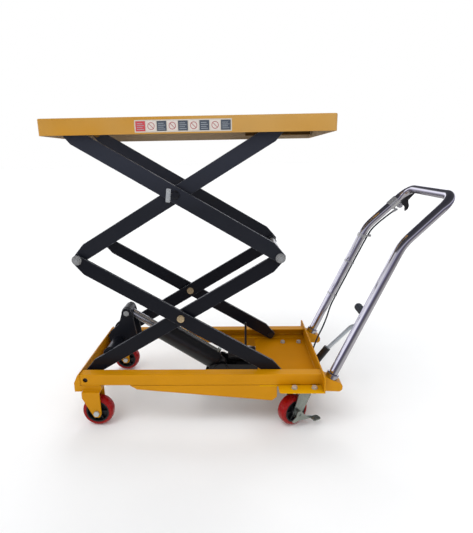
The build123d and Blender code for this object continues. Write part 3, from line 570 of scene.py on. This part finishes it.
def hydraulic_welds():
    """Beads where the cradle's cheeks meet the floor of the trough."""
    low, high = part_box("hydraulic_cradle")
    end_gap, height = 0.01, low.z + 0.004
    beads = [bead([Vector((low.x + end_gap, side * high.y, height)),
                   Vector((high.x - end_gap, side * high.y, height))], THIN_BEAD)
             for side in SIDES]
    mesh_piece("cradle_welds", "base", "dark_steel", *joined(beads))


# ---------------------------------------------------------------- wheels
HUB_FACE = 0.02252
# (radius, height above the hub's face): inner ring, shield and outer ring of a bearing
BEARING = [(0.0070, 0), (0.0070, 0.0006), (0.0085, 0.0010), (0.0112, 0.0010), (0.0116, 0.0003),
           (0.0126, 0.0003), (0.0130, 0.0010), (0.0142, 0.0008), (0.0146, 0)]
# (radius, height above the wheel's middle): the ridge that a mould leaves at the tyre's shoulder
TREAD_LIP = [(0.0432, 0.0196), (0.0432, 0.0204), (0.0440, 0.0208), (0.0450, 0.0204),
             (0.0450, 0.0196)]


def wheel_details(wheel):
    """Bearing shields on both faces of a hub, and the mould ridges on its tread."""
    centre, axis = joint_at[f"{wheel}_spin"], axis_of[f"{wheel}_spin"]
    on_hub = [(radius, HUB_FACE + height) for radius, height in BEARING]
    shields = [turned(centre, axis * side, on_hub, closed=True) for side in SIDES]
    ridges = [turned(centre, axis * side, TREAD_LIP, steps=72, closed=True) for side in SIDES]
    mesh_piece(f"{wheel}_bearings", wheel, "steel", *joined(shields))
    mesh_piece(f"{wheel}_tread_lips", wheel, "red_tyre", *joined(ridges))


# ---------------------------------------------------------------- pedal, label and plate
def ribbed_pad():
    """Rubber foot rest with fine grip grooves round it and rounded ends."""
    low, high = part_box("pedal_pad")
    radius, half = (high.z - low.z) / 2, (high.y - low.y) / 2
    end_round, end_steps, end_gap, tip = 0.0025, 4, 0.003, 0.001
    pitch, depth = 0.0075, 0.0009
    slope_start, floor_start, floor_end, slope_end = 0.0008, 0.0016, 0.0026, 0.0034

    turns = [math.radians(90 * k / end_steps) for k in range(end_steps + 1)]
    arc = [(radius - end_round + end_round * math.sin(turn), end_round * (1 - math.cos(turn)))
           for turn in turns]
    profile = [(tip, -half)] + [(r, -half + inward) for r, inward in arc]
    grooves = int((2 * half - 2 * end_round - 2 * end_gap) / pitch)
    for k in range(grooves):
        start = (k - grooves / 2) * pitch
        profile += [(radius, start + slope_start), (radius - depth, start + floor_start),
                    (radius - depth, start + floor_end), (radius, start + slope_end)]
    profile += [(r, half - inward) for r, inward in reversed(arc)] + [(tip, half)]
    verts, faces = turned((low + high) / 2, Y_AXIS, profile, steps=56)
    pad = mesh_piece("pedal_grip", "pedal", "black_rubber", verts, faces)
    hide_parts("pedal_pad")


def warning_strip():
    """Film on the deck's near side: a pale strip with nine plain cells and no wording."""
    low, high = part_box("table_pan")
    from_front, to_rear, from_top, to_bottom = 0.2966, 0.5902, 0.0095, 0.0455
    film_thickness, cell_thickness, bar_thickness = 0.00012, 0.0002, 0.00028
    film_sunk, cell_sunk = -0.0001, 0.00005
    film_corner, cell_corner = 0.002, 0.001
    x_low, x_high = low.x + from_front, low.x + to_rear
    z_low, z_high = high.z - to_bottom, high.z - from_top
    cell_face = low.y - cell_thickness
    tones = {"base": linear(198, 190, 178), "pale": linear(212, 202, 194),
             "dark": linear(72, 80, 92), "red": linear(196, 66, 74), "ring": linear(176, 92, 92),
             "bars": linear(158, 164, 170)}
    materials = [polymer(f"film_{key}", tone, 0.45, grain=0.1, worn=0.1 if key == "base" else 0.08)
                 for key, tone in tones.items()]
    index_of = {key: index for index, key in enumerate(tones)}

    margin, gap, count = 0.0035, 0.0028, 9
    cell = (x_high - x_low - 2 * margin - (count - 1) * gap) / count
    ring_inner, ring_outer, ring_height = 0.0088, 0.0108, 0.00008
    ring = [(ring_inner, 0), (ring_inner, ring_height), (ring_outer, ring_height), (ring_outer, 0)]
    stroke_half = 0.0009
    stroke = slab((-ring_inner, ring_inner), (-stroke_half, stroke_half), (-ring_height, 0.0))
    lean = Matrix.Rotation(math.radians(45), 3, "Y")
    bar_inset, bar_top, bar_pitch, bar_height = 0.004, 0.0062, 0.0055, 0.0016
    bars, long_bar, short_bar = 4, 0.72, 0.58

    pieces = [(slab((x_low, x_high), (z_low, z_high),
                    (low.y - film_thickness, low.y - film_sunk), film_corner), "base")]
    for k in range(count):
        x = x_low + margin + k * (cell + gap)
        kind = "red" if k == 0 else ("pale" if k % 2 else "dark")
        pieces.append((slab((x, x + cell), (z_low + margin, z_high - margin),
                            (cell_face, low.y - cell_sunk), cell_corner), kind))
        if kind == "pale":
            centre = Vector((x + cell / 2, cell_face, (z_low + z_high) / 2))
            pieces.append((turned(centre, -Y_AXIS, ring, steps=40, closed=True), "ring"))
            pieces.append((([centre + lean @ v for v in stroke[0]], stroke[1]), "ring"))
            continue
        for row in range(bars):
            z = z_high - margin - bar_top - row * bar_pitch
            length = cell * (long_bar if row % 2 else short_bar)
            pieces.append((slab((x + bar_inset, x + bar_inset + length), (z - bar_height, z),
                                (low.y - bar_thickness, cell_face)), "bars"))
    verts, faces = joined([part for part, _ in pieces])
    strip = mesh_piece("warning_strip", "table", "hub_black", verts, faces, materials, False)
    marks = [index_of[key] for (_, part_faces), key in pieces for _ in part_faces]
    strip.data.polygons.foreach_set("material_index", marks)


def keeper_plate():
    """Small bright plate beside the near upper centre pin, with its two screws."""
    pin = joint_at["upper_cross"]
    arm_low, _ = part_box("arm_outer_upper_left")
    half_width, half_height, thickness, corner = 0.0075, 0.0225, 0.003, 0.0025
    ahead_of_pin, below_pin, screw_reach = 0.0225, 0.001, 0.014
    # (radius, height): a low domed head
    screw = [(0.0001, 0.0019), (0.0026, 0.0017), (0.0037, 0.0010), (0.0042, 0.0)]
    turn = Matrix.Rotation(math.radians(7), 3, "Y")
    place = Vector((pin.x - ahead_of_pin, arm_low.y, pin.z - below_pin))
    verts, faces = slab((-half_width, half_width), (-half_height, half_height), (-thickness, 0.0),
                        corner)
    parts = [([turn @ v for v in verts], faces)]
    for z in (-screw_reach, screw_reach):
        parts.append(turned(turn @ Vector((0, -thickness, z)), -Y_AXIS, screw, steps=24))
    verts, faces = joined(parts)
    mesh_piece("pin_keeper_plate", "outer_upper", "zinc", [v + place for v in verts], faces,
               [bright_zinc], False)


frame_welds()
crank_welds()
hydraulic_welds()
for wheel in WHEELS:
    wheel_details(wheel)
ribbed_pad()
warning_strip()
keeper_plate()


# ---------------------------------------------------------------- stage, light and camera
def stage_floor():
    """A wide pale floor that shows soft shadows and isn't seen in reflections."""
    mesh = bpy.data.meshes.new("floor")
    bm = bmesh.new()
    bmesh.ops.create_circle(bm, cap_ends=True, segments=96, radius=60.0)
    bm.to_mesh(mesh)
    bm.free()
    obj = bpy.data.objects.new("stage_floor", mesh)
    bpy.context.scene.collection.objects.link(obj)
    s = Shader("pale_floor")
    darker, lighter = (0.91, 0.91, 0.91, 1), (0.925, 0.925, 0.925, 1)
    colour = s.mix(s.patches(3.0, 0.3, 0.7, detail=4.0), darker, lighter)
    s.set(Base_Color=colour, Roughness=0.9, Specular_IOR_Level=0.0)
    mesh.materials.append(s.material)
    obj.visible_glossy = False


# Colours of the room that reflections show, by height: 0 is straight down, 1 straight up.
ROOM = [(0.0, (0.55, 0.54, 0.52)), (0.24, (0.66, 0.65, 0.62)), (0.34, (0.20, 0.19, 0.20)),
        (0.47, (0.12, 0.11, 0.16)), (0.51, (0.28, 0.27, 0.42)), (0.57, (0.72, 0.72, 0.80)),
        (0.62, (0.50, 0.50, 0.54)), (0.68, (0.09, 0.09, 0.10)), (1.0, (0.05, 0.05, 0.06))]


def world_light():
    """White for the camera, soft even light, and a room with two bright panels for reflections."""
    world = bpy.data.worlds.new("studio")
    bpy.context.scene.world = world
    w = Wiring(world)
    ray = w.node("ShaderNodeLightPath").outputs
    way = w.split(w.node("ShaderNodeTexCoord").outputs["Generated"])

    def background(colour, strength=1.0):
        made = w.node("ShaderNodeBackground")
        w.feed_named(made, Color=colour, Strength=strength)
        return made.outputs[0]

    def panel(sideways, start, end, bottom, top):
        """A bright patch with soft edges: where it starts and ends sideways, and its height."""
        steps = [w.ramp(way[axis], low, high, curve="SMOOTHSTEP")
                 for axis, low, high in ((sideways, start, end), ("Z", *bottom), ("Z", *top))]
        return w.maths("MULTIPLY", steps[0], w.maths("MULTIPLY", steps[1], steps[2]))

    def choose(kind, others, chosen):
        """One shader for a kind of ray and another for the others."""
        made = w.node("ShaderNodeMixShader")
        for target, value in zip(made.inputs, (ray[kind], others, chosen)):
            w.feed(target, value)
        return made.outputs[0]

    ramp = w.node("ShaderNodeValToRGB")
    while len(ramp.color_ramp.elements) < len(ROOM):
        ramp.color_ramp.elements.new(0.5)
    for element, (place, value) in zip(ramp.color_ramp.elements, ROOM):
        element.position = place
        element.color = (*value, 1)
    w.feed(ramp.inputs[0], w.maths("ADD", w.maths("MULTIPLY", way["Z"], 0.5), 0.5))
    window = panel("X", -0.55, -0.85, (0.0, 0.06), (0.42, 0.34))
    back_wall = panel("Y", 0.55, 0.9, (-0.25, 0.05), (0.34, 0.22))
    glow = w.maths("ADD", w.maths("MULTIPLY", window, 0.75), w.maths("MULTIPLY", back_wall, 0.8))
    room = background(w.vector_maths("ADD", ramp.outputs[0], glow)["Vector"])
    backdrop = background((1.0, 1.0, 1.0, 1))
    soft = background((0.975, 0.985, 1.0, 1), 0.80)
    output = w.node("ShaderNodeOutputWorld")
    w.feed(output.inputs[0], choose("Is Glossy Ray", choose("Is Camera Ray", soft, backdrop), room))


def aimed(light, place, target):
    """Put a light in the scene, pointed at a target and left out of reflections."""
    obj = bpy.data.objects.new(light.name, light)
    obj.location = place
    obj.rotation_mode = "QUATERNION"
    obj.rotation_quaternion = (Vector(target) - Vector(place)).to_track_quat("-Z", "Y")
    obj.visible_glossy = False
    bpy.context.scene.collection.objects.link(obj)


def lights():
    """Two wide soft suns, before and behind the table, and a cool window behind the camera."""
    for name, energy, spread, place in (("sky_panel", 0.85, 35, (-1.4, -1.6, 3.4)),
                                        ("back_panel", 0.7, 30, (0.3, 2.6, 2.4))):
        sun = bpy.data.lights.new(name, "SUN")
        sun.energy = energy
        sun.angle = math.radians(spread)
        aimed(sun, place, (0, 0, 0))
    window = bpy.data.lights.new("window", "AREA")
    window.shape = "RECTANGLE"
    window.size, window.size_y = 1.3, 1.1
    window.energy = 5.5
    window.color = (0.86, 0.92, 1.0)
    aimed(window, (-0.15, -3.2, 1.35), (0, 0, 0.8))


def camera():
    """The camera solved from the deck, the frame and the wheels as the photograph shows them."""
    place = (-0.06326, -1.58747, 0.94544)
    yaw, pitch, roll = -0.028, 0.262, -0.017
    ahead = Vector((math.sin(yaw) * math.cos(pitch), math.cos(yaw) * math.cos(pitch),
                    -math.sin(pitch)))
    level_right = Vector((math.cos(yaw), -math.sin(yaw), 0))
    level_up = level_right.cross(ahead)
    right = level_right * math.cos(roll) + level_up * math.sin(roll)
    up = level_up * math.cos(roll) - level_right * math.sin(roll)
    data = bpy.data.cameras.new("camera")
    data.sensor_width = 36.0
    data.lens = 28.60
    data.shift_x, data.shift_y = 0.0217, 0.0107
    data.clip_end = 100.0
    obj = bpy.data.objects.new("camera", data)
    turn = Matrix((right, up, -ahead)).transposed()
    obj.matrix_world = Matrix.Translation(place) @ turn.to_4x4()
    bpy.context.scene.collection.objects.link(obj)
    bpy.context.scene.camera = obj


stage_floor()
world_light()
lights()
camera()
bpy.context.scene.view_settings.view_transform = "Standard"
